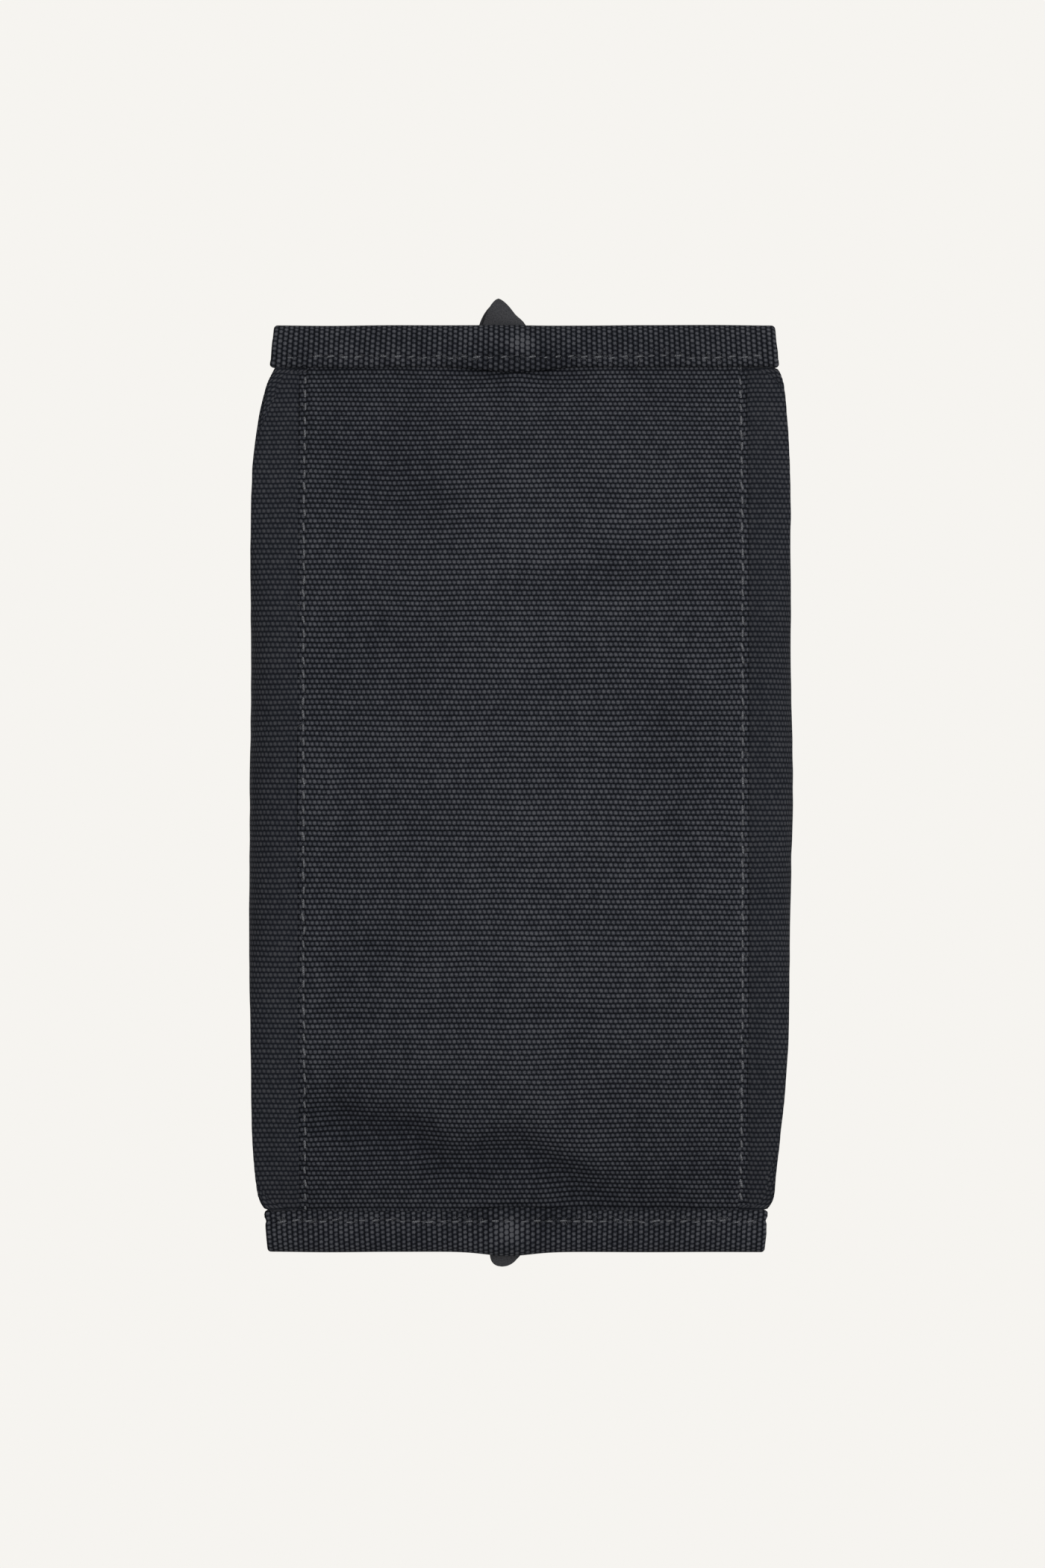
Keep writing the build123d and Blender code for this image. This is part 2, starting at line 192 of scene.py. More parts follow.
def rounded(points, radii, steps=14):
    """A polyline with each inner corner rounded by its radius, or as much of it as the runs allow."""
    out = [points[0]]
    for before, corner, after, radius in zip(points, points[1:], points[2:], radii):
        back, on = before - corner, after - corner
        back_length, on_length = np.linalg.norm(back), np.linalg.norm(on)
        back, on = back / back_length, on / on_length
        turn = math.pi - math.acos(float(np.clip(back @ on, -1, 1)))
        if turn < 1e-3:
            out.append(corner)
            continue
        reach = min(radius * math.tan(turn / 2), 0.47 * min(back_length, on_length))
        start, end = corner + back * reach, corner + on * reach
        for t in np.linspace(0, 1, steps):
            out.append((1 - t) ** 2 * start + 2 * t * (1 - t) * corner + t * t * end)
    out.append(points[-1])
    return np.array(out)


def half_section(x, sign, tuck):
    """Half of the bag's outline across Y at x, from the bottom's middle to the zip.

    tuck says how far the middle of the side is drawn in, as at the flat ends.
    """
    low, high, wide = belly(x), crown(x), half_width(x, sign)
    middle = (low + high) / 2
    corners = np.array([
        (0, low), (wide, low + 0.4), (wide - tuck, middle), (wide, high - 1.2), (SLOT, high),
    ], float)
    line = rounded(corners, (EDGE_RADIUS, 5.0, EDGE_RADIUS))
    # Rounding draws the sides in, so the outline is widened again, and its first point put back on the middle
    line[:, 0] = SLOT + (line[:, 0] - SLOT) * (wide - SLOT) / (line[:, 0].max() - SLOT)
    line[:, 0] -= line[0, 0] * (1 - np.clip(line[:, 0] / SLOT, 0, 1)) * (line[:, 1] < middle)
    return line


def length_along(line):
    """Distance along a polyline at each of its points."""
    return np.concatenate([[0], np.cumsum(np.linalg.norm(np.diff(line, axis=0), axis=1))])


GIRTH = length_along(half_section(0.0, 1, 0.0))[-1]  # of half the bag, at its middle
ZIP_STITCH_PLACE = GIRTH - (ZIP_STITCH_LINE - SLOT)  # along the cloth from the bottom's middle


def tucked_section(x, sign):
    """half_section with the tuck that keeps the cloth's girth, softened near the middle of the bag."""
    low, high = 0.0, 34.0
    for _ in range(24):
        middle = (low + high) / 2
        if length_along(half_section(x, sign, middle))[-1] < GIRTH:
            low = middle
        else:
            high = middle
    return half_section(x, sign, low * smooth(20, 75, abs(x)) * 0.94)


def section_points(x, sign, places):
    """Points on the half section at x for places along the cloth, which are lengths at the middle of the bag.

    Up to SEAM they stay lengths. Past it they are stretched to fill the rest of the section.
    """
    line = tucked_section(x, sign)
    along = length_along(line)
    total = along[-1]
    stretch = (total - SEAM) / (GIRTH - SEAM)
    where = np.where(places <= SEAM, places, SEAM + (places - SEAM) * stretch)
    where = where + sign * OFF_CENTRE * smooth(0, SEAM, where) * (1 - smooth(SEAM, total - 20, where))
    return np.stack([np.interp(where, along, line[:, 0]), np.interp(where, along, line[:, 1])], axis=1)


def grid_normals(points):
    """Unit normals of a grid of points, rows by columns by 3."""
    along = np.gradient(points, axis=0)
    across = np.gradient(points, axis=1)
    normal = np.cross(along, across)
    return normal / np.maximum(np.linalg.norm(normal, axis=2, keepdims=True), 1e-9)


# ---------------------------------------- mesh helpers


def put(name, verts, faces, material, uvs=None, flat=False, wear_and_painted_light=None):
    """A mesh object from points in millimetres, with its cloth coordinates in a UV map, in millimetres too.

    The last argument says how much lighter than the rest each point is painted: lighter where worn and where
    a highlight is painted, and below 0 in the hollows, where shade is painted.
    """
    mesh = bpy.data.meshes.new(name)
    mesh.from_pydata((np.asarray(verts, float) * MM).tolist(), [], [tuple(int(i) for i in f) for f in faces])
    if uvs is not None:
        layer = mesh.uv_layers.new(name="cloth")
        loops = np.empty(len(mesh.loops), int)
        mesh.loops.foreach_get("vertex_index", loops)
        layer.data.foreach_set("uv", np.asarray(uvs, np.float32)[loops].ravel())
    # The colour reads this as a point attribute: wear, with painted shade and painted highlights.
    if wear_and_painted_light is not None:
        rubbed_and_painted_light = mesh.attributes.new("wear_and_painted_light", "FLOAT", "POINT")
        rubbed_and_painted_light.data.foreach_set("value", np.asarray(wear_and_painted_light, np.float32).ravel())
    if not flat:
        mesh.shade_smooth()
    mesh.materials.append(material)
    piece = bpy.data.objects.new(name, mesh)
    bpy.context.collection.objects.link(piece)
    return piece


def grid_faces(rows, columns, start=0, flip=False):
    """Quads of a grid whose points are numbered row by row from start."""
    index = start + np.arange(rows * columns).reshape(rows, columns)
    quads = np.stack([index[:-1, :-1], index[:-1, 1:], index[1:, 1:], index[1:, :-1]], axis=-1).reshape(-1, 4)
    return quads[:, ::-1] if flip else quads


def thick_sheet(outer, normals, thickness):
    """Points and faces of a closed sheet: the outer grid, the same grid drawn in, and a rim between them."""
    rows, columns = outer.shape[:2]
    count = rows * columns
    inner = outer - normals * thickness
    verts = np.concatenate([outer.reshape(-1, 3), inner.reshape(-1, 3)])
    faces = [grid_faces(rows, columns), grid_faces(rows, columns, count, flip=True)]
    index = np.arange(count).reshape(rows, columns)
    loop = np.concatenate([index[0, :], index[1:, -1], index[-1, -2::-1], index[-2:0:-1, 0]])
    following = np.roll(loop, -1)
    faces.append(np.stack([following, loop, loop + count, following + count], axis=-1))
    return verts, np.concatenate(faces)


def sheet_piece(name, grid, out, cloth, thickness, material, flip=False, wear_and_painted_light=None):
    """A thick_sheet as a mesh object, with the same cloth coordinates, and wear with painted shade and
    highlights, on both of its faces.
    """
    verts, faces = thick_sheet(grid, out, thickness)
    faces = faces[:, ::-1] if flip else faces
    uvs = np.concatenate([cloth.reshape(-1, 2)] * 2)
    wear_and_painted_light = None if wear_and_painted_light is None else np.concatenate([wear_and_painted_light.ravel()] * 2)
    return put(name, verts, faces, material, uvs, wear_and_painted_light=wear_and_painted_light)


def open_weight(x, z):
    """How far a point of the top follows its opening half: not at all at the mouth's ends or on the wall."""
    return np.clip(1 - (x / MOUTH) ** 2, 0, 1) * smooth(LIP_MIDDLE - 5, LIP_MIDDLE + 9, z)


def open_with(piece):
    """Bakes a piece's placement into its mesh."""
    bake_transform(piece)


# ---------------------------------------- the cloth surface


ROWS = np.concatenate([
    np.arange(-HALF_LENGTH - 6, -HALF_LENGTH + 6, 0.5),
    np.linspace(-HALF_LENGTH + 6, HALF_LENGTH - 6, 150),
    np.arange(HALF_LENGTH - 5.5, HALF_LENGTH + 6.1, 0.5),
])
BOTTOM_PLACES = np.concatenate([
    np.linspace(0, 50, 38), np.arange(50.6, 52.6, 0.6), np.arange(52.8, SEAM - 0.05, 0.22), [SEAM],
])
SIDE_PLACES = np.concatenate([
    np.arange(SEAM, SEAM + 2.2, 0.22), np.linspace(SEAM + 2.4, 70, 44), np.linspace(71, 98, 26),
    np.linspace(98.3, 110, 40), np.linspace(111, GIRTH - 5, 50),
    np.arange(GIRTH - 4.6, GIRTH - 0.2, 0.4), [GIRTH],
])
BOTTOM_LINE = np.concatenate([-BOTTOM_PLACES[:0:-1], BOTTOM_PLACES])  # both halves, from right to left


def dent(x, y, place, size, lean=0.0):
    """A soft oval dent of depth 1 at place, of the given size along X and Y, with its long side leaning."""
    off_x, off_y = x - place[0] - lean * (y - place[1]), y - place[1]
    return np.exp(-((off_x / size[0]) ** 2) - (off_y / size[1]) ** 2)


def creases(x, y):
    """Depth pressed into the bottom panel: the fold across its rear end, and its softer folds and hollows."""
    line = -81.0 - 3.5 * smooth(-50, -32, y) - 8.0 * smooth(-30, -16, y) + 2.5 * bump(y, -1, 8)
    line -= 8.0 * smooth(2, 22, y) + 2.5 * smooth(22, 45, y)
    past = x - line
    along = smooth(-58, -46, y) * (1 - 0.5 * smooth(12, 30, y)) * (1 - smooth(34, 52, y))
    along *= 0.8 + 0.3 * bump(y, -42, 9) + 0.3 * bump(y, 0, 10)
    rear = along * 1.9 * np.exp(-((np.minimum(past, 0) / 6.4) ** 2) - (np.maximum(past, 0) / 5.4) ** 2)
    beside_zip = 0.55 * bump(x, HALF_LENGTH - 1.5, 2.6) * (bump(y, -9, 10) + 0.8 * bump(y, 9, 9))
    fold = 0.5 * bump(x, -55.7 + 0.6 * np.sin(y / 14), 2.0) * (1 - smooth(46, 53, abs(y)))
    hollows = 0.9 * dent(x, y, (75, -33), (9, 14), -0.3) + 0.7 * dent(x, y, (34, -39), (8, 12), 0.2)
    hollows += 0.8 * dent(x, y, (-38, -31), (7, 13), 0.3) + 0.9 * dent(x, y, (52, 16), (5, 24), 0.25)
    hollows += 0.6 * dent(x, y, (25, 6), (6, 9), 0.4) + 0.6 * dent(x, y, (5, 37), (22, 9), 0.0)
    return rear + beside_zip + fold + hollows


def swells(x, s, side_seed):
    """Slow swells of stuffed canvas, and short ripples gathered into the bindings."""
    inside = 1 - smooth(HALF_LENGTH - 10, HALF_LENGTH - 1, abs(x))
    slow = 0.40 * ripple(x, s, 34, 26, side_seed) + 0.16 * ripple(x, s, 15, 13, side_seed + 1)
    fine = 0.07 * ripple(x, s, 4.2, 3.6, side_seed + 2)
    near_end = np.exp(-(HALF_LENGTH - np.minimum(abs(x), HALF_LENGTH)) / 9)
    gathers = (1 - 0.85 * bump(abs(s), 66, 22)) * 0.3 * ripple(x, s, 45, 6.5, side_seed + 3) * near_end
    return (slow + fine) * inside + gathers * (1 - smooth(HALF_LENGTH - 2, HALF_LENGTH + 1, abs(x)))


def furrow(s, line, depth):
    """The dent that a row of stitches pulls into the cloth."""
    return depth * np.exp(-(((s - line) / 0.55) ** 2))


def puckers(x, s, line):
    """Small swellings between stitches beside a row of stitching."""
    return 0.06 * np.cos(2 * math.pi * x / STITCH_PITCH) * np.exp(-(((s - line) / 1.6) ** 2))


def cloth_grid(places, sign):
    """The bag's surface at the given places along the cloth, on the side that sign says: ROWS by places."""
    grid = np.empty((len(ROWS), len(places), 3))
    for row, x in enumerate(ROWS):
        points = section_points(float(x), sign, places)
        grid[row, :, 0] = x
        grid[row, :, 1] = sign * points[:, 0]
        grid[row, :, 2] = points[:, 1]
    return grid


def cloth_length(x):
    """Length along the bottom panel's middle from x = 0, so that the weave keeps its size on the slopes."""
    stations = np.linspace(0, HALF_LENGTH + 8, 400)
    heights = np.array([belly(v) for v in stations])
    along = length_along(np.stack([stations, heights], axis=1))
    return np.sign(x) * np.interp(abs(x), stations, along)


def bottom_surface():
    """The bottom panel's outer grid, its normals, its cloth coordinates, and its wear with painted shade and
    highlights.
    """
    right = cloth_grid(BOTTOM_PLACES, -1)[:, :0:-1]
    left = cloth_grid(BOTTOM_PLACES, 1)
    grid = np.concatenate([right, left], axis=1)
    s = np.broadcast_to(BOTTOM_LINE, grid.shape[:2])
    x, y, z = grid[..., 0], grid[..., 1], grid[..., 2]
    out = -grid_normals(grid)
    out = np.where(out[..., 2:] > 0, -out, out)
    folds, swell = creases(x, y), swells(x, s, 5)
    sink = folds + furrow(abs(s), STITCH_LINE, 0.42)
    sink += 0.32 * smooth(SEAM - 1.2, SEAM + 0.1, abs(s))
    lift = swell + puckers(x, abs(s), STITCH_LINE) + 0.16 * bump(abs(s), 52.4, 0.9)
    lift += 1.1 * bump(x, HALF_LENGTH - 2, 4) * bump(y, -1, 4.5)
    # What rests on the table isn't pushed below it
    rise = np.minimum(lift - sink, z / np.maximum(-out[..., 2], 0.3))
    # Painted into the colour: painted shade darkens the folds and hollows, both ends and the bag's right
    # (-Y). The swells are a little lighter, partly worn and partly a painted highlight.
    wear_and_painted_light = 0.06 * swell - 0.17 * np.tanh(0.9 * folds)
    wear_and_painted_light -= 0.07 * smooth(55, 100, abs(x)) + 0.05 * smooth(5, 45, -y)
    grid = grid + out * rise[..., None]
    return grid, out, np.stack([s, cloth_length(x)], axis=-1), np.clip(wear_and_painted_light, -0.45, 0.3)


def side_surface(sign):
    """One side panel's outer grid, from the bottom seam to the zip, its normals and its cloth coordinates."""
    grid = cloth_grid(SIDE_PLACES, sign)
    s = np.broadcast_to(SIDE_PLACES, grid.shape[:2])
    x = grid[..., 0]
    out = -grid_normals(grid) * sign
    sink = 0.32 * (1 - smooth(SEAM - 0.1, SEAM + 1.2, s)) + furrow(s, ZIP_STITCH_PLACE, 0.3)
    sink += 0.9 * smooth(GIRTH - 0.9, GIRTH, s)
    lift = swells(x, sign * s, 21 if sign > 0 else 43) + puckers(x, s, ZIP_STITCH_PLACE)
    lift += 0.18 * bump(s, GIRTH - 1.1, 0.8)
    lift *= 1 - 0.8 * smooth(GIRTH - 22, GIRTH - 6, s)
    grid = grid + out * (lift - sink)[..., None]
    return grid, out, np.stack([sign * s, cloth_length(x)], axis=-1)


# ---------------------------------------- materials


class Shader:
    """A node material with one Principled shader, built by short calls that chain."""

    def __init__(self, name, roughness, **sockets):
        self.material = bpy.data.materials.new(name)
        self.material.use_nodes = True
        self.tree = self.material.node_tree
        self.surface = self.tree.nodes["Principled BSDF"]
        self.surface.inputs["Roughness"].default_value = roughness
        for socket, value in sockets.items():
            self.surface.inputs[socket.replace("_", " ")].default_value = value

    def node(self, kind, **settings):
        """A new node of a kind, with its settings."""
        made = self.tree.nodes.new(kind)
        for key, value in settings.items():
            setattr(made, key, value)
        return made

    def feed(self, socket, value):
        """Links another node's output to a socket, or sets the socket's own value."""
        if isinstance(value, bpy.types.NodeSocket):
            self.tree.links.new(value, socket)
        else:
            socket.default_value = value

    def math(self, operation, a, b=0.0, c=0.0, clamp=False):
        made = self.node("ShaderNodeMath", operation=operation, use_clamp=clamp)
        for socket, value in zip(made.inputs, (a, b, c)):
            self.feed(socket, value)
        return made.outputs[0]

    def noise(self, vector, scale, detail=2.0):
        made = self.node("ShaderNodeTexNoise")
        made.inputs["Scale"].default_value = scale
        made.inputs["Detail"].default_value = detail
        self.feed(made.inputs["Vector"], vector)
        return made.outputs["Fac"]

    def random(self, vector):
        """A random value from 0 to 1 for each value of the vector."""
        made = self.node("ShaderNodeTexWhiteNoise", noise_dimensions="3D")
        self.feed(made.inputs["Vector"], vector)
        return made.outputs["Value"]

    def vector(self, x, y, z=0.0):
        made = self.node("ShaderNodeCombineXYZ")
        for socket, value in zip(made.inputs, (x, y, z)):
            self.feed(socket, value)
        return made.outputs[0]

    def ramp(self, value, stops):
        """A colour from a value, by (place, colour) stops."""
        made = self.node("ShaderNodeValToRGB")
        elements = made.color_ramp.elements
        while len(elements) < len(stops):
            elements.new(0.5)
        for element, (place, colour) in zip(elements, stops):
            element.position = place
            element.color = (*colour, 1)
        self.feed(made.inputs[0], value)
        return made.outputs[0]

    def cloth(self):
        """The piece's cloth coordinates in millimetres, as two values and a vector."""
        uv = self.node("ShaderNodeUVMap", uv_map="cloth")
        split = self.node("ShaderNodeSeparateXYZ")
        self.feed(split.inputs[0], uv.outputs[0])
        return split.outputs[0], split.outputs[1], uv.outputs[0]

    def place(self):
        """Object coordinates, in metres."""
        return self.node("ShaderNodeTexCoord").outputs["Object"]

    def colour(self, value):
        self.feed(self.surface.inputs["Base Color"], value)

    def relief(self, height, distance):
        """Bump from a height, whose full step is the given distance in metres."""
        made = self.node("ShaderNodeBump")
        made.inputs["Distance"].default_value = distance
        self.feed(made.inputs["Height"], height)
        self.feed(self.surface.inputs["Normal"], made.outputs[0])


def canvas_material(name, levels):
    """Plain-weave canvas: staggered rows of raised oval threads, worn lighter on their tops, with painted
    shade in the gaps between them.

    levels are its four shades, from the painted shade of the gaps to the worn tops.
    """
    m = Shader(name, 0.95, Specular_IOR_Level=0.03)
    u, v, cloth = m.cloth()
    # Where a point lies in its row and in its pair of threads, from -0.5 to 0.5. Every other row is shifted
    # by one thread, and slow noise keeps the rows from being straight.
    drift = m.math("MULTIPLY_ADD", m.noise(cloth, 0.05), 0.6, -0.3)
    drift_fine = m.math("MULTIPLY_ADD", m.noise(cloth, 0.8), 0.09, -0.045)
    row = m.math("ADD", m.math("DIVIDE", v, ROW), m.math("ADD", drift, drift_fine))
    row_index = m.math("FLOOR", row)
    along = m.math("SUBTRACT", m.math("SUBTRACT", row, row_index), 0.5)
    stagger = m.math("MULTIPLY", m.math("FLOORED_MODULO", row_index, 2.0), 0.5)
    leaning = m.math("MULTIPLY_ADD", along, -LEAN, stagger)
    pair = m.math("ADD", m.math("DIVIDE", u, 2 * WARP), m.math("ADD", leaning, drift_fine))
    pair_index = m.math("FLOOR", pair)
    across = m.math("SUBTRACT", m.math("SUBTRACT", pair, pair_index), 0.5)
    round_across = m.math("POWER", m.math("COSINE", m.math("MULTIPLY", across, 3.0)), 1.2)
    round_along = m.math("POWER", m.math("COSINE", m.math("MULTIPLY", along, 3.05)), 0.80)
    height = m.math("MULTIPLY", round_along, m.math("MULTIPLY_ADD", round_across, 0.74, 0.26))
    # How strongly each raised thread is lit: by itself, by its warp thread, by its row, and by the mesh's
    # wear with its painted shade and highlights
    cell = m.random(m.vector(pair_index, row_index, 3.0))
    thread = m.random(m.vector(pair_index, 0.0, 7.0))
    pick = m.random(m.vector(row_index, 5.0, 1.0))
    wear_and_painted_light = m.math("MULTIPLY_ADD", m.noise(cloth, 0.05, 2.0), 0.24, 0.88)
    twisted = m.vector(m.math("MULTIPLY_ADD", v, 2.0, m.math("MULTIPLY", u, 6.0)), m.math("MULTIPLY", v, 3.0))
    fibres = m.math("MULTIPLY_ADD", m.noise(twisted, 1.0, 3.0), 2.1, -0.05)
    strength = m.math("MULTIPLY_ADD", cell, 0.26, 0.87)
    strength = m.math("MULTIPLY", strength, m.math("MULTIPLY_ADD", thread, 0.06, 0.97))
    strength = m.math("MULTIPLY", strength, m.math("MULTIPLY_ADD", pick, 0.06, 0.97))
    # The mesh's attribute: wear, painted shade in the folds and hollows, and painted highlights
    rubbed_and_painted_light = m.node("ShaderNodeAttribute", attribute_name="wear_and_painted_light").outputs["Fac"]
    strength = m.math("MULTIPLY", strength, m.math("ADD", rubbed_and_painted_light, 1.0))
    # The colour follows each thread's height: the gaps between threads are painted dark as painted shade, and
    # the tops are lighter where worn
    lit = m.math("MULTIPLY", height, strength)
    light = m.math("MULTIPLY", lit, m.math("MULTIPLY", wear_and_painted_light, fibres), clamp=True)
    shades = []
    for place, level in zip((0.0, 0.3, 0.6, 1.0), levels):
        tint = [dark + (worn - dark) * place for dark, worn in zip(DARK_TINT, LIGHT_TINT)]
        shades.append((place, tuple(level * share for share in tint)))
    m.colour(m.ramp(light, shades))
    m.relief(m.math("ADD", height, m.math("MULTIPLY", fibres, 0.15)), 0.00025)
    return m.material


def thread_material():
    """Sewing thread, a little lighter than the canvas, with its twist."""
    m = Shader("thread", 0.7, Specular_IOR_Level=0.15)
    u, v, cloth = m.cloth()
    slant = m.math("ADD", u, m.math("MULTIPLY", v, 0.45))
    twist = m.math("SINE", m.math("MULTIPLY", slant, 14.0))
    light = m.math("MULTIPLY_ADD", twist, 0.10, m.noise(cloth, 4.0, 3.0))
    m.colour(m.ramp(light, [(0.3, (0.030, 0.032, 0.037)), (0.68, (0.158, 0.163, 0.179))]))
    m.relief(twist, 0.0001)
    return m.material


def tape_material(name, pitch):
    """Zip tape: a fine herringbone rib."""
    m = Shader(name, 0.85, Specular_IOR_Level=0.12)
    u, v, cloth = m.cloth()
    band = m.math("PINGPONG", u, 1.6)
    rib = m.math("SINE", m.math("MULTIPLY", m.math("ADD", v, band), 2 * math.pi / pitch))
    light = m.math("MULTIPLY_ADD", rib, 0.3, m.noise(cloth, 1.2))
    m.colour(m.ramp(light, [(0.15, (0.0075, 0.0080, 0.0100)), (0.95, (0.026, 0.0275, 0.033))]))
    m.relief(rib, 0.00012)
    return m.material


def lining_material():
    """Thin coated nylon: a fine square weave with a low sheen."""
    m = Shader("lining", 0.55, Specular_IOR_Level=0.3)
    u, v, cloth = m.cloth()
    turns = 2 * math.pi / 0.32
    across = m.math("SINE", m.math("MULTIPLY", u, turns))
    along = m.math("SINE", m.math("MULTIPLY", v, turns))
    weave = m.math("MULTIPLY", across, along)
    light = m.math("MULTIPLY_ADD", weave, 0.2, m.noise(cloth, 0.3))
    m.colour(m.ramp(light, [(0.1, (0.014, 0.0145, 0.017)), (0.9, (0.034, 0.035, 0.040))]))
    m.relief(m.math("ADD", weave, m.math("MULTIPLY", m.noise(cloth, 0.12), 6.0)), 0.00008)
    return m.material


def metal_material():
    """Black-coated zip metal, rubbed to grey along its edges."""
    m = Shader("zip_metal", 0.34, Metallic=0.85)
    place = m.place()
    geometry = m.node("ShaderNodeNewGeometry")
    edge = m.math("SUBTRACT", geometry.outputs["Pointiness"], 0.52)
    patches = m.math("MULTIPLY_ADD", m.noise(place, 900.0, 3.0), 0.5, -0.18)
    rub = m.math("ADD", m.math("MULTIPLY", edge, 9.0), patches, clamp=True)
    m.colour(m.ramp(rub, [(0.0, (0.0135, 0.0140, 0.0165)), (1.0, (0.115, 0.117, 0.125))]))
    m.feed(m.surface.inputs["Roughness"], m.math("MULTIPLY_ADD", m.noise(place, 1500.0), 0.22, 0.26))
    m.relief(m.noise(place, 2200.0, 2.0), 0.00003)
    return m.material


def ribbon_material():
    """The end tabs' ribbon: a close soft grey-black weave, very finely ribbed across."""
    m = Shader("tab", 0.75, Specular_IOR_Level=0.12)
    _, v, cloth = m.cloth()
    rib = m.math("SINE", m.math("MULTIPLY", v, 2 * math.pi / 0.42))
    light = m.math("MULTIPLY_ADD", rib, 0.02, m.noise(cloth, 3.2, 4.0))
    m.colour(m.ramp(light, [(0.3, (0.0140, 0.0145, 0.0172)), (0.72, (0.040, 0.0405, 0.0445))]))
    m.relief(light, 0.00012)
    return m.material


CANVAS_CLOTH = canvas_material("canvas", (0.0009, 0.0080, 0.0262, 0.062))
# A copy of the same canvas for the side panels, with lighter gaps and darker tops: painted light, set for how
# the sides are lit
SIDE_CLOTH = canvas_material("side_canvas", (0.0036, 0.0098, 0.0205, 0.040))
BINDING_CLOTH = canvas_material("binding", (0.0010, 0.0070, 0.0215, 0.060))
THREAD = thread_material()
TAPE = tape_material("zip_tape", 0.9)
LINING = lining_material()
METAL = metal_material()
RIBBON = ribbon_material()


# ---------------------------------------- pieces


def lining_piece(name, grid, out, cloth, flip=False):
    """The lining behind a panel, given as the panel's outer grid, normals and cloth coordinates."""
    inside = abs(ROWS) < LINED
    inner = grid[inside] - out[inside] * (CANVAS + LINING_GAP)
    return sheet_piece(name, inner, out[inside], cloth[inside], LINING_THICKNESS, LINING, flip)


def make_bottom():
    """The bottom panel and its lining."""
    grid, out, cloth, wear_and_painted_light = bottom_surface()
    panel = sheet_piece("bottom_canvas", grid, out, cloth, CANVAS, CANVAS_CLOTH, wear_and_painted_light=wear_and_painted_light)
    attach(panel, "pouch")
    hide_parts("bottom_panel")
    lining = lining_piece("bottom_lining", grid, out, cloth)
    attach(lining, "pouch")
    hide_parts("lining_bottom")
    return grid, out


def make_side(side, sign):
    """One side panel in a single piece from the bottom seam to the zip, and its lining."""
    grid, out, cloth = side_surface(sign)
    panel = sheet_piece(f"side_canvas_{side}", grid, out, cloth, CANVAS, SIDE_CLOTH, flip=sign < 0)
    open_with(panel)
    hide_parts(f"side_panel_{side}", f"top_panel_{side}")
    lining = lining_piece(f"side_lining_{side}", grid, out, cloth, flip=sign < 0)
    open_with(lining)
    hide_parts(f"lining_side_{side}", f"lining_top_{side}")
    return grid, out


def surface_at(grid, x_values, column):
    """Points on a grid's column at the given x values."""
    line = grid[:, column]
    return np.stack([np.interp(x_values, line[:, 0], line[:, axis]) for axis in range(3)], axis=1)


def stitch_mesh(centres, directions, ups, stitch, seed):
    """Points, faces and cloth coordinates of a row of stitches, given as the length and width of one.

    Each is a short tight thread that dips into the cloth at both ends.
    """
    rng = np.random.default_rng(seed)
    length, width = stitch
    rings, around = 9, 8
    verts, faces, uvs = [], [], []
    for centre, direction, up in zip(centres, directions, ups):
        across = np.cross(up, direction)
        yaw = rng.normal(0.13, 0.09)
        direction = direction * math.cos(yaw) + across * math.sin(yaw)
        across = np.cross(up, direction)
        size = rng.normal(1, 0.07)
        centre = centre + across * rng.normal(0, 0.07) + direction * rng.normal(0, 0.09)
        start = len(verts)
        for ring in range(rings):
            t = ring / (rings - 1) * 2 - 1
            fat = math.sqrt(max(1 - abs(t) ** 5, 0.0)) * width / 2 * size
            dip = -0.5 * width * abs(t) ** 3
            for corner in range(around):
                angle = 2 * math.pi * corner / around
                point = centre + direction * (t * length / 2 * size)
                point = point + across * (math.cos(angle) * max(fat, 0.02))
                point = point + up * (dip + math.sin(angle) * max(fat, 0.02) * 0.8)
                verts.append(point)
                # start gives each stitch its own part of the pattern
                uvs.append((t * length / 2 + start, angle * width / 2))
        for ring in range(rings - 1):
            for corner in range(around):
                a = start + ring * around + corner
                b = start + ring * around + (corner + 1) % around
                faces.append((a, b, b + around, a + around))
        faces.append(tuple(start + corner for corner in reversed(range(around))))
        faces.append(tuple(start + (rings - 1) * around + corner for corner in range(around)))
    return np.array(verts), faces, np.array(uvs)


def loose_fibres(name, anchors, ups, count, seed):
    """Short curled fibres that stand out of the cloth beside a row of stitches."""
    rng = np.random.default_rng(seed)
    verts, faces = [], []
    for _ in range(count):
        pick = rng.integers(len(anchors))
        up = np.array(ups[pick], float)
        spread = rng.normal(0, 1, 3)
        spread -= up * (spread @ up)
        heading = spread / max(np.linalg.norm(spread), 1e-6)
        turn = np.cross(up, heading)
        point = np.array(anchors[pick], float) + spread * 0.55
        length, curl = rng.uniform(0.7, 2.1), rng.normal(0, 0.9)
        start = len(verts)
        for step in range(5):
            t = step / 4
            angle = curl * t
            along = heading * math.cos(angle) + turn * math.sin(angle)
            place = point + along * (t * length) + up * (0.28 * math.sin(math.pi * min(t + 0.12, 1.0)))
            thin = 0.05 * (1 - 0.6 * t)
            for corner in range(3):
                a = 2 * math.pi * corner / 3
                verts.append(place + turn * (thin * math.cos(a)) + up * (thin * math.sin(a)))
        for step in range(4):
            for corner in range(3):
                a = start + step * 3 + corner
                b = start + step * 3 + (corner + 1) % 3
                faces.append((a, b, b + 3, a + 3))
        faces.append((start + 2, start + 1, start))
        faces.append((start + 12, start + 13, start + 14))
    verts = np.array(verts)
    return put(name, verts, faces, THREAD, verts[:, :2])


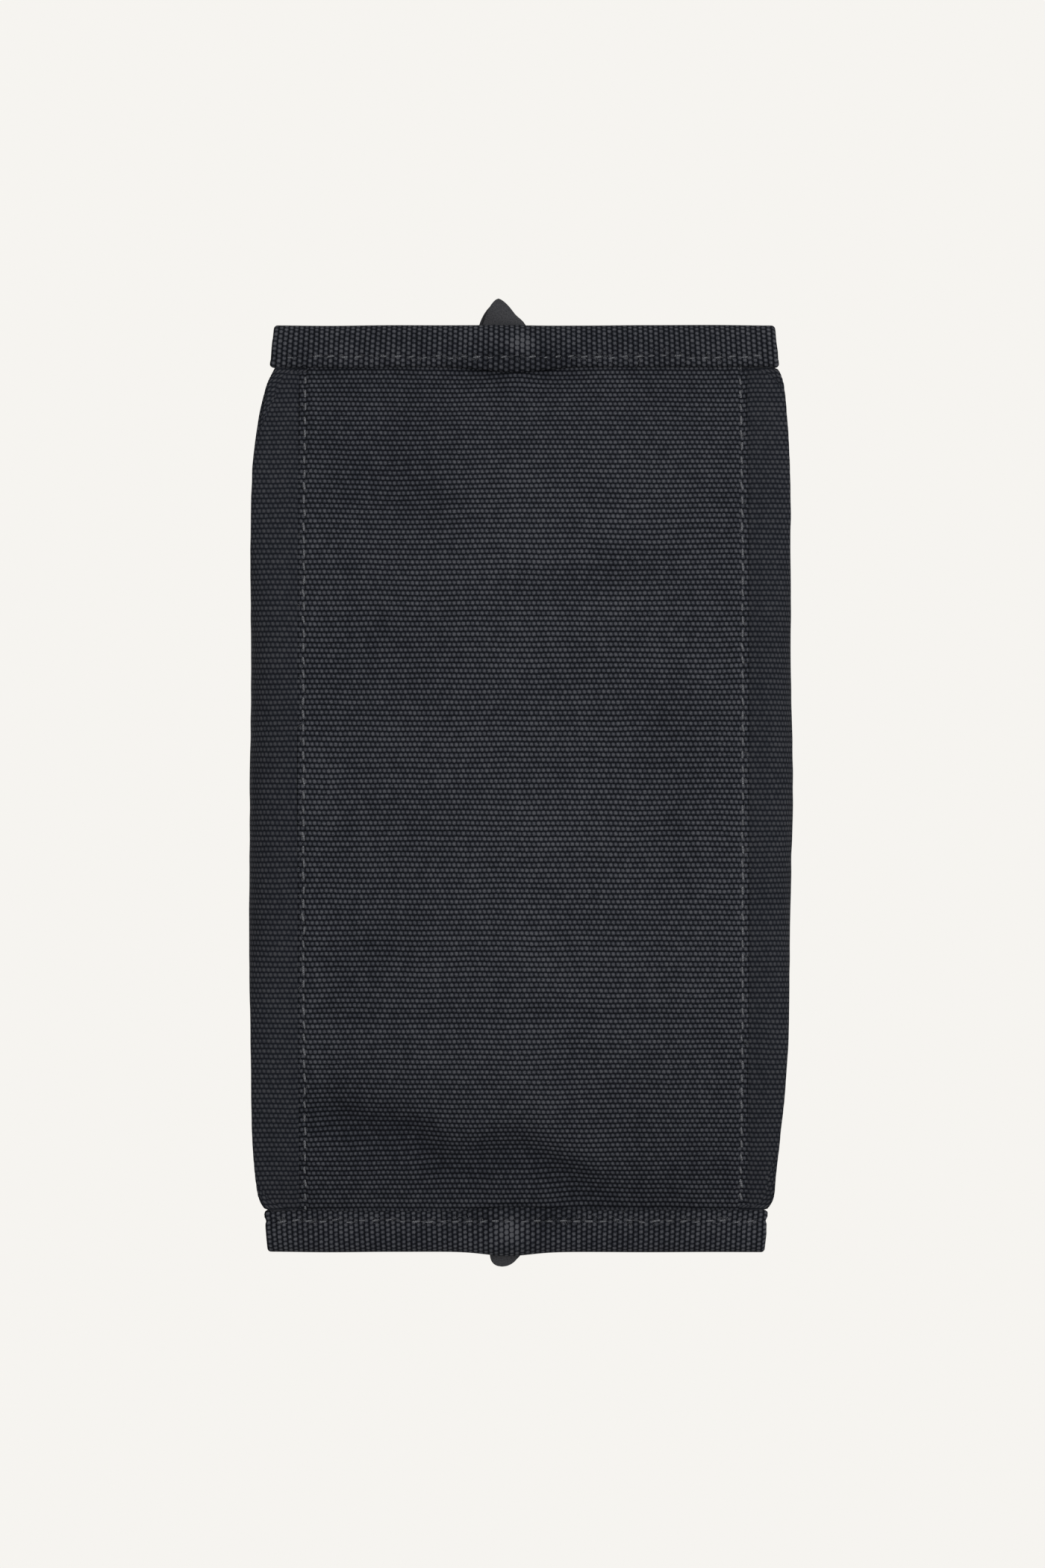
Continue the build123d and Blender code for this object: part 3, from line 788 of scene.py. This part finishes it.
def row_of_stitches(name, grid, out, column, limit):
    """A row of stitches along a grid's column, from -limit to limit in x, and each point's stitch centre.

    The length of its name seeds the row's small differences.
    """
    count = int(2 * limit / STITCH_PITCH)
    x = (np.arange(count) - (count - 1) / 2) * STITCH_PITCH
    centres = surface_at(grid, x, column)
    ahead = surface_at(grid, x + 0.5, column)
    directions = ahead - centres
    directions /= np.linalg.norm(directions, axis=1, keepdims=True)
    line_x = grid[:, column, 0]
    ups = np.stack([np.interp(x, line_x, out[:, column, axis]) for axis in range(3)], axis=1)
    ups -= directions * np.sum(ups * directions, axis=1, keepdims=True)
    ups /= np.linalg.norm(ups, axis=1, keepdims=True)
    verts, faces, uvs = stitch_mesh(centres + ups * 0.14, directions, ups, LONG_STITCH, len(name))
    row = put(name, verts, faces, THREAD, uvs)
    return row, np.repeat(centres, len(verts) // count, axis=0)


def nearest_column(places, value):
    """The index of the place that is closest to value."""
    return int(np.argmin(abs(places - value)))


def waver(y, scale, seed):
    """Smooth seeded noise along one length."""
    return ripple(y, np.zeros_like(y), scale, 1, seed)


def binding_section(y, end, face):
    """Half-thickness, inner edge and outer edge of a binding at y, measured outwards from where it starts.

    face is -1 for the underside, where a lump stands proud over the zip's end, and 1 for the zip's side.
    """
    sign = end["sign"]
    lump, dip = (1.5, 1.2) if face < 0 else (0.1, 0.0)
    thickness = BINDING_HALF + lump * bump(y, -1.2, 8.5) + 0.16 * waver(y, 9, 70 + sign)
    thickness -= 0.5 * smooth(end["inner_half"] - 6, end["inner_half"], abs(y - end["shift"]))
    inner = 0.28 * waver(y, 13, 74 + sign) * (face < 0) - dip * bump(y, -1.2, 12)
    outer = BINDING_DEPTH + 0.32 + 0.14 * waver(y, 16, 78 + sign) + end["bulge"] * bump(y, -3, 8)
    return thickness, inner, outer


def binding_outline():
    """The fold's outline, from the underside's inner edge round the nose to the top's inner edge.

    A point is a distance outwards as a share of the depth, and a height as a share of the half-thickness.
    """
    face = [(0.10, 0.52), (0.025, 0.62), (0.0, 0.76), (0.012, 0.90), (0.05, 0.99)]
    face += [(e, 1.0 + 0.04 * math.sin(math.pi * e)) for e in np.linspace(0.08, 0.72, 34)]
    nose = [(0.72 + 0.28 * math.sin(a), math.cos(a) ** 0.8) for a in np.linspace(0.10, math.pi / 2, 12)[:-1]]
    half = [(e, -h) for e, h in face + nose]
    return np.array(half + [(1.0, 0.0)] + [(e, -h) for e, h in reversed(half)])


def binding_grid(end, share, outline):
    """A binding's plain surface: rows at shares of its half-width by the points of its outline.

    The last millimetre at both of its ends is rounded, and both ends slant.
    """
    y = share * end["inner_half"] + end["shift"]
    sections = {face: binding_section(y, end, face) for face in (-1, 1)}
    from_end = (1 - abs(share)) * end["inner_half"]
    rounding = np.sqrt(np.clip(1 - (1 - np.clip(from_end, 0, 1)) ** 2, 0.0, 1))
    corner = 1 - rounding
    grid = np.empty((len(share), len(outline), 3))
    for column, (e, h) in enumerate(outline):
        thickness, inner, outer = sections[1 if h > 0 else -1]
        reach = inner + corner * 0.7 + (outer - inner - corner * 1.7) * e
        half = end["inner_half"] + (end["outer_half"] - end["inner_half"]) * e
        grid[:, column, 0] = end["sign"] * (HALF_LENGTH + reach)
        grid[:, column, 1] = end["shift"] + share * half
        grid[:, column, 2] = LIP_MIDDLE + h * thickness * (0.55 + 0.45 * rounding)
    return grid


def make_binding(name, end):
    """A folded strip of canvas round one flat end."""
    sign = end["sign"]
    share = np.concatenate([
        -1 + 0.016 * np.linspace(0, 1, 9)[:-1] ** 1.6,
        np.linspace(-0.984, 0.984, 170),
        1 - 0.016 * np.linspace(1, 0, 9)[1:] ** 1.6,
    ])
    outline = binding_outline()
    grid = binding_grid(end, share, outline)
    out = grid_normals(grid) * sign
    y, span = grid[..., 1], grid[..., 0] * sign - HALF_LENGTH
    on_face = smooth(0.3, 1.0, span) * (1 - smooth(7.0, 9.0, span))
    swell = 0.10 * ripple(y, span, 4.0, 3.0, 90 + sign) + 0.05 * ripple(y, span, 1.7, 1.5, 95)
    pulled_in = furrow(span, BINDING_STITCH_LINE, 0.30) * on_face
    grid = grid + out * (swell * on_face - pulled_in)[..., None]

    # On the underside only: a lighter spot on the lump over the zip's end, partly worn and partly a painted
    # highlight, and two bands of painted shade along the inner edge. The slow ripple is the cloth's own tone
    # on both faces.
    y, below = grid[..., 1], grid[..., 2] < LIP_MIDDLE
    out_place, y_place, size = end["rubbed_and_painted_light"]
    worn_spot_and_painted_highlight = np.exp(-(((span - out_place) / (0.8 * size)) ** 2) - (((y - y_place) / size) ** 2))
    painted_groove_shade = bump(y, -8, 9) + bump(y, 9, 7)
    wear_and_painted_light = below * (worn_spot_and_painted_highlight - 0.27 * painted_groove_shade * bump(span, 2.2, 3.2)) + 0.05 * ripple(y, span, 12, 8, 97)

    columns = len(outline)
    faces = [tuple(f) for f in grid_faces(len(share), columns, flip=sign < 0)]
    for row in (0, len(share) - 1):
        ring = [row * columns + c for c in range(columns)]
        faces.append(tuple(ring if (row == 0) == (sign < 0) else reversed(ring)))
    # The weave goes round the fold as if the binding were even and a little thicker
    across = length_along(outline * np.array([BINDING_DEPTH, BINDING_HALF + 0.05]))
    along = share * end["inner_half"] + end["shift"]
    uvs = np.stack([np.tile(across, len(share)), np.repeat(along, columns)], axis=1)
    strip = put(f"binding_{name}_cloth", grid.reshape(-1, 3), faces, BINDING_CLOTH, uvs, wear_and_painted_light=wear_and_painted_light)
    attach(strip, "pouch")
    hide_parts(f"binding_{name}")


def sew_binding(name, end):
    """The rows of stitches on both faces of a binding, with loose fibres beside them."""
    sign = end["sign"]
    count = int(2 * (end["inner_half"] - 2.2) / STITCH_PITCH)
    stitch_y = (np.arange(count) - (count - 1) / 2) * STITCH_PITCH + end["shift"]
    centres, directions, ups = [], [], []
    rng = np.random.default_rng(100 + sign)
    for face_sign in (-1, 1):
        thickness, _, _ = binding_section(stitch_y, end, face_sign)
        for place, half in zip(stitch_y, thickness):
            wander = rng.normal(0, 0.22)
            outwards = HALF_LENGTH + BINDING_STITCH_LINE + wander
            centres.append((sign * outwards, place, LIP_MIDDLE + face_sign * (half - 0.18)))
            directions.append((0, 1, 0))
            ups.append((0, 0, face_sign))
    rows = [np.array(values, float) for values in (centres, directions, ups)]
    verts, faces, uvs = stitch_mesh(*rows, SHORT_STITCH, 7 + sign)
    thread = put(f"binding_stitches_{name}", verts, faces, THREAD, uvs)
    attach(thread, "pouch")
    fibres = loose_fibres(f"binding_fibres_{name}", centres, ups, 700, 60 + sign)
    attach(fibres, "pouch")
    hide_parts(f"binding_thread_{name}")


def make_tape(side, sign):
    """One half of the zip's tape, with a corded edge."""
    x = np.arange(-HALF_LENGTH, HALF_LENGTH + 0.1, 1.1)
    across = np.array([0, 0.25, 0.6, 1.0, 1.4, 2.5, 4.0, 6.0, 8.0, 10.0, 12.5])
    cord = 0.32 * bump(across, 0.5, 0.45)
    inner_edge = np.where(abs(x) < MOUTH + 1, *TAPE_EDGES)
    grid = np.empty((len(x), len(across), 3))
    for row, place in enumerate(x):
        grid[row, :, 0] = place
        grid[row, :, 1] = sign * (inner_edge[row] + across)
        grid[row, :, 2] = crown(place) - TAPE_DROP + cord
    out = np.zeros_like(grid)
    out[..., 0] = (x / TOP_RADIUS)[:, None]
    out[..., 2] = np.sqrt(1 - out[..., 0] ** 2)
    cloth = np.stack([grid[..., 1], grid[..., 0]], axis=-1)
    tape = sheet_piece(f"tape_{side}", grid, out, cloth, TAPE_THICKNESS, TAPE, flip=sign > 0)
    open_with(tape)
    end = "front" if side == "left" else "rear"
    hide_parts(f"zip_tape_{side}", f"zip_tape_{end}")


def make_teeth(side, sign):
    """One row of moulded metal teeth, each a narrow-necked outline drawn up through four levels."""
    count = int(2 * (MOUTH + 0.5) / TOOTH_PITCH)
    outline = [(-0.46, 3.7), (-0.46, 1.5), (-0.32, 0.9), (-0.55, 0.2), (-0.45, -0.45), (0.0, -0.72),
               (0.45, -0.45), (0.55, 0.2), (0.32, 0.9), (0.46, 1.5), (0.46, 3.7)]
    levels = [(-1.05, 0.82), (-0.88, 1.0), (0.88, 1.0), (1.05, 0.82)]
    verts, faces, weights = [], [], []
    radius = TOP_RADIUS - TOOTH_DROP
    for tooth in range(count):
        centre_x = (tooth - (count - 1) / 2) * TOOTH_PITCH + sign * TOOTH_PITCH / 4
        slope = math.asin(centre_x / TOP_RADIUS)
        middle = Vector((radius * math.sin(slope), 0, TOP_CENTRE + radius * math.cos(slope)))
        along = Vector((math.cos(slope), 0, -math.sin(slope)))
        up = Vector((math.sin(slope), 0, math.cos(slope)))
        start = len(verts)
        for height, scale in levels:
            for a, b in outline:
                outwards = Vector((0, sign * (1.5 + (b - 1.5) * scale), 0))
                verts.append(middle + along * (a * scale) + outwards + up * height)
        n = len(outline)
        for level in range(len(levels) - 1):
            for corner in range(n):
                a = start + level * n + corner
                b = start + level * n + (corner + 1) % n
                faces.append((a, b, b + n, a + n) if sign > 0 else (a + n, b + n, b, a))
        bottom, top = [start + c for c in range(n)], [start + (len(levels) - 1) * n + c for c in range(n)]
        faces.append(tuple(reversed(bottom)) if sign > 0 else tuple(bottom))
        faces.append(tuple(top) if sign > 0 else tuple(reversed(top)))
        weights += [float(open_weight(centre_x, HEIGHT))] * (n * len(levels))
    teeth = put(f"teeth_{side}", [tuple(p) for p in verts], faces, METAL, flat=True)
    open_with(teeth)
    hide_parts(f"zip_teeth_{side}")


def make_tab(name, end, middle, width, tip, reach, arch, lean):
    """An end tab: a folded ribbon whose front ply ends in a rounded point, with the back ply just behind it.

    middle and tip are its places along Y at its root and its tip, and reach is how far it stands out. arch
    says how it narrows: the two powers of its outline, and its shoulder's width. lean shifts the back ply.
    """
    sign = BINDINGS[end]["sign"]
    root = HALF_LENGTH + BINDING_DEPTH - 2.5
    top = HALF_LENGTH + BINDING_DEPTH + reach
    parts, count = [], 0
    for shift, shrink, offset, bow in ((0.0, 1.0, -0.6, -1.0), (lean, 0.93, 0.7, 0.5)):
        rows, columns = 40, 30
        h = np.linspace(0, 1, rows)[:, None] ** 0.75
        c = np.linspace(-1, 1, columns)[None, :]
        narrow = np.clip(1 - h ** arch[0], 0.0, 1) ** arch[1]
        shoulder = arch[2] * np.exp(-((h / 0.5) ** 6)) * smooth(-0.2, 1.0, c)
        grid = np.empty((rows, columns, 3))
        grid[..., 0] = sign * (root + (top - root) * h * shrink)
        centre = middle + (tip - middle) * h**1.5 + shift * (1 - h**3)
        grid[..., 1] = centre + c * narrow * width / 2 + shoulder
        curl = bow * 0.7 * (1 - c * c) * np.sin(math.pi * h**0.8)
        together = 0.75 * h**2
        grid[..., 2] = LIP_MIDDLE + offset * (1 - together) + curl
        grid[..., 2] += 0.12 * np.sin(h * 9 + c * 2)
        out = np.zeros_like(grid)
        out[..., 2] = -1.0
        verts, faces = thick_sheet(grid, out, RIBBON_THICKNESS)
        parts.append((verts, (faces if sign < 0 else faces[:, ::-1]) + count))
        count += len(verts)
    verts = np.concatenate([part[0] for part in parts])
    faces = np.concatenate([part[1] for part in parts])
    tab = put(name, verts, faces, RIBBON, np.stack([verts[:, 1], verts[:, 0]], axis=1))
    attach(tab, f"tab_{end}")
    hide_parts(f"end_tab_{end}")


def sew_seam(side, sign, grid, out):
    """The stitches beside one bottom seam, and the loose fibres along them."""
    column = nearest_column(BOTTOM_LINE, sign * STITCH_LINE)
    seam, _ = row_of_stitches(f"seam_stitches_{side}", grid, out, column, HALF_LENGTH + 1.5)
    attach(seam, "pouch")
    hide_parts(f"seam_thread_{side}")
    anchors = surface_at(grid, np.linspace(-HALF_LENGTH, HALF_LENGTH, 60), column)
    fuzz = loose_fibres(f"seam_fibres_{side}", anchors, [(0, 0, -1)] * len(anchors), 260, 30 + sign)
    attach(fuzz, "pouch")


def sew_zip(side, grid, out):
    """The stitches beside one half of the zip."""
    column = nearest_column(SIDE_PLACES, ZIP_STITCH_PLACE)
    row, centres = row_of_stitches(f"zip_stitches_{side}", grid, out, column, HALF_LENGTH - 0.5)
    open_with(row)
    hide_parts(f"zip_thread_{side}")


bottom_grid, bottom_out = make_bottom()
for side, sign in (("left", 1), ("right", -1)):
    side_grid, side_out = make_side(side, sign)
    sew_seam(side, sign, bottom_grid, bottom_out)
    sew_zip(side, side_grid, side_out)
    make_tape(side, sign)
    make_teeth(side, sign)
for name, end in BINDINGS.items():
    make_binding(name, end)
    sew_binding(name, end)
make_tab("ribbon_front", "front", -4.3, 10.6, -5.3, 7.0, (1.5, 0.66, 1.3), -1.0)
make_tab("ribbon_rear", "rear", -3.3, 7.8, -4.4, 3.9, (3.4, 0.5, 0.0), 0.6)
for node in ("slider", "puller", "zip_stop_front", "zip_stop_rear"):
    cad_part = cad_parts[node]
    cad_part.data.materials.clear()
    cad_part.data.materials.append(METAL)


# ---------------------------------------- stage, lights and camera


def make_floor():
    """A plain pale floor. Seen from below it is clear, so that the camera under it sees the bag."""
    mesh = bpy.data.meshes.new("floor")
    reach = 6.0
    drop = -0.0003
    corners = [(-reach, -reach), (reach, -reach), (reach, reach), (-reach, reach)]
    mesh.from_pydata([(x, y, drop) for x, y in corners], [], [(0, 1, 2, 3)])
    floor = bpy.data.objects.new("floor", mesh)
    bpy.context.collection.objects.link(floor)
    material = bpy.data.materials.new("floor")
    material.use_nodes = True
    tree = material.node_tree
    surface = tree.nodes["Principled BSDF"]
    surface.inputs["Base Color"].default_value = (0.62, 0.61, 0.595, 1)
    surface.inputs["Roughness"].default_value = 0.9
    clear = tree.nodes.new("ShaderNodeBsdfTransparent")
    mix = tree.nodes.new("ShaderNodeMixShader")
    facing = tree.nodes.new("ShaderNodeNewGeometry")
    tree.links.new(facing.outputs["Backfacing"], mix.inputs[0])
    tree.links.new(surface.outputs[0], mix.inputs[1])
    tree.links.new(clear.outputs[0], mix.inputs[2])
    tree.links.new(mix.outputs[0], tree.nodes["Material Output"].inputs[0])
    mesh.materials.append(material)
    floor.visible_shadow = False
    floor.visible_diffuse = False
    floor.visible_glossy = False


def area_light(name, place, size, power):
    """A soft square light at place, in metres, that shines at the bag."""
    data = bpy.data.lights.new(name, "AREA")
    data.size = size
    data.energy = power
    light = bpy.data.objects.new(name, data)
    light.location = place
    light.rotation_mode = "QUATERNION"
    light.rotation_quaternion = (-Vector(place)).to_track_quat("-Z", "Y")
    light.visible_camera = False
    bpy.context.collection.objects.link(light)


def make_world(brightness):
    """The pale studio around the bag, which is also the backdrop that the camera sees."""
    world = bpy.data.worlds.new("studio")
    world.use_nodes = True
    background = world.node_tree.nodes["Background"]
    background.inputs[0].default_value = (0.922, 0.905, 0.871, 1)
    background.inputs[1].default_value = brightness
    bpy.context.scene.world = world


def make_camera():
    """The camera below the bag, looking straight up, with the front of the bag at the top of the picture."""
    data = bpy.data.cameras.new("camera")
    camera = bpy.data.objects.new("camera", data)
    distance = 2.0
    frame_height = 0.3889  # what the picture's height covers at the lips, in metres
    data.sensor_width = 36.0
    data.lens = data.sensor_width * (distance + LIP_MIDDLE * MM) / frame_height
    data.clip_end = 50
    right, up, back = Vector((0, 1, 0)), Vector((1, 0, 0)), Vector((0, 0, -1))
    turn = Matrix((right, up, back)).transposed().to_4x4()
    camera.matrix_world = Matrix.Translation((0.0012, 0.0007, -distance)) @ turn
    bpy.context.collection.objects.link(camera)
    bpy.context.scene.camera = camera


bpy.context.scene.view_settings.view_transform = "Standard"
make_floor()
make_world(1.0)
area_light("key_below", (0.55, 0.6, -1.35), 1.0, 17.0)
area_light("key_above", (0.6, -0.7, 1.4), 1.0, 7.0)
area_light("fill_above", (-1.0, 0.9, 1.1), 1.4, 3.0)
make_camera()
